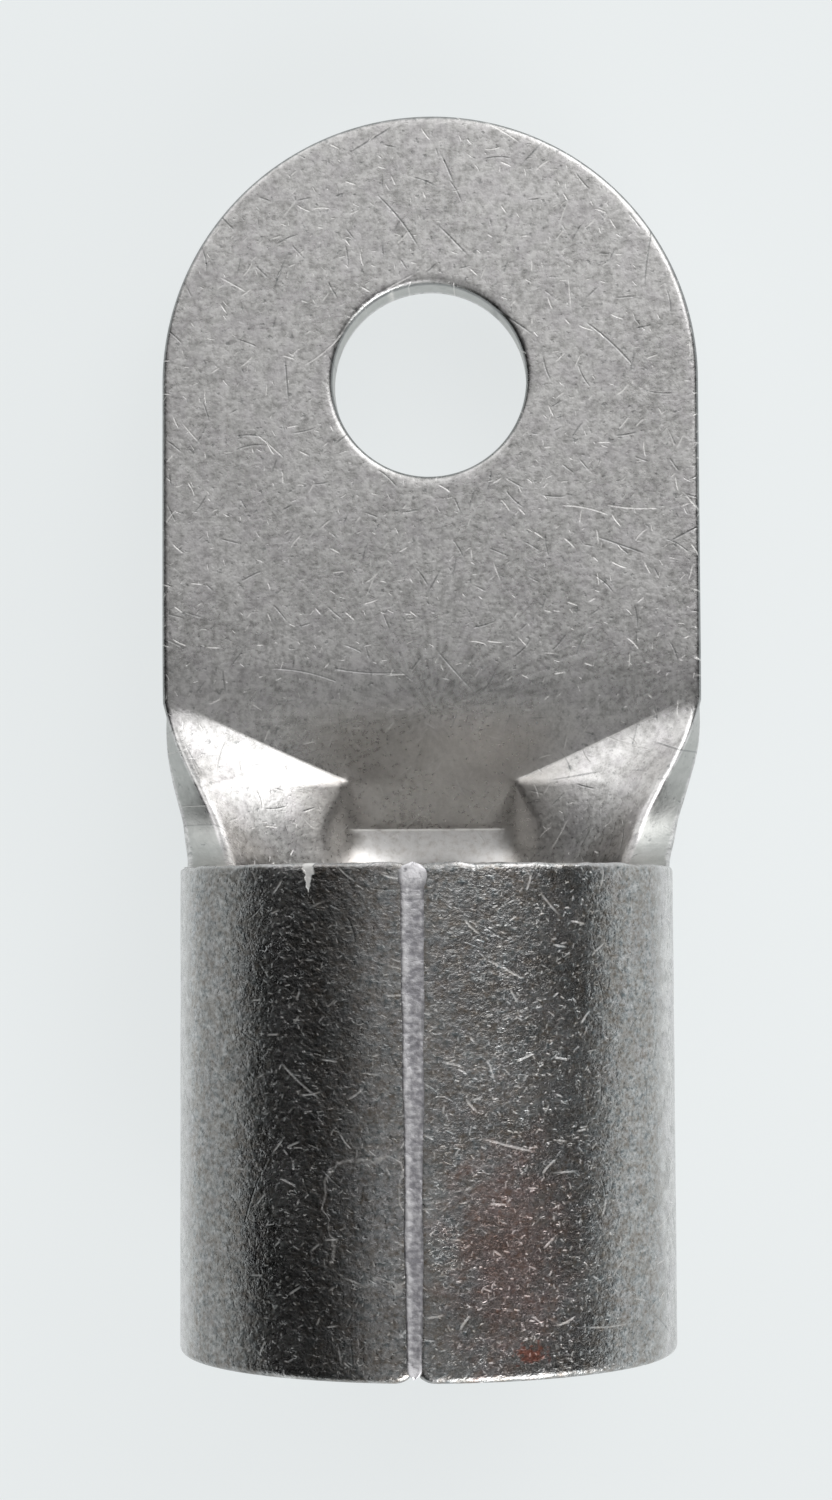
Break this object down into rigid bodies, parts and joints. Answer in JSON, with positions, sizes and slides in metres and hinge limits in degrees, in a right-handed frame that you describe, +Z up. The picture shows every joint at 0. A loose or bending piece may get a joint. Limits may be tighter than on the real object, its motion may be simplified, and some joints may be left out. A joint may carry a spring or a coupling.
{
  "type": "cable lug",
  "caption": "Ring-tongue cable lug folded from one sheet: flat palm with a stud hole, creased neck, rolled barrel with a butt seam, open at both ends.",
  "frame": {"origin": "centre of the bounding box's underside, on the barrel's lowest line", "axes": "+Y towards the tip of the palm, -Y out of the wire mouth, +Z up from the palm's face towards the seam side"},
  "size_m": [0.036, 0.081, 0.031],
  "materials": {
    "tinned_copper": "tumbled satin tin plating over copper"
  },
  "bodies": {
    "root": {"lug": "tinned_copper"}
  },
  "joints": []
}
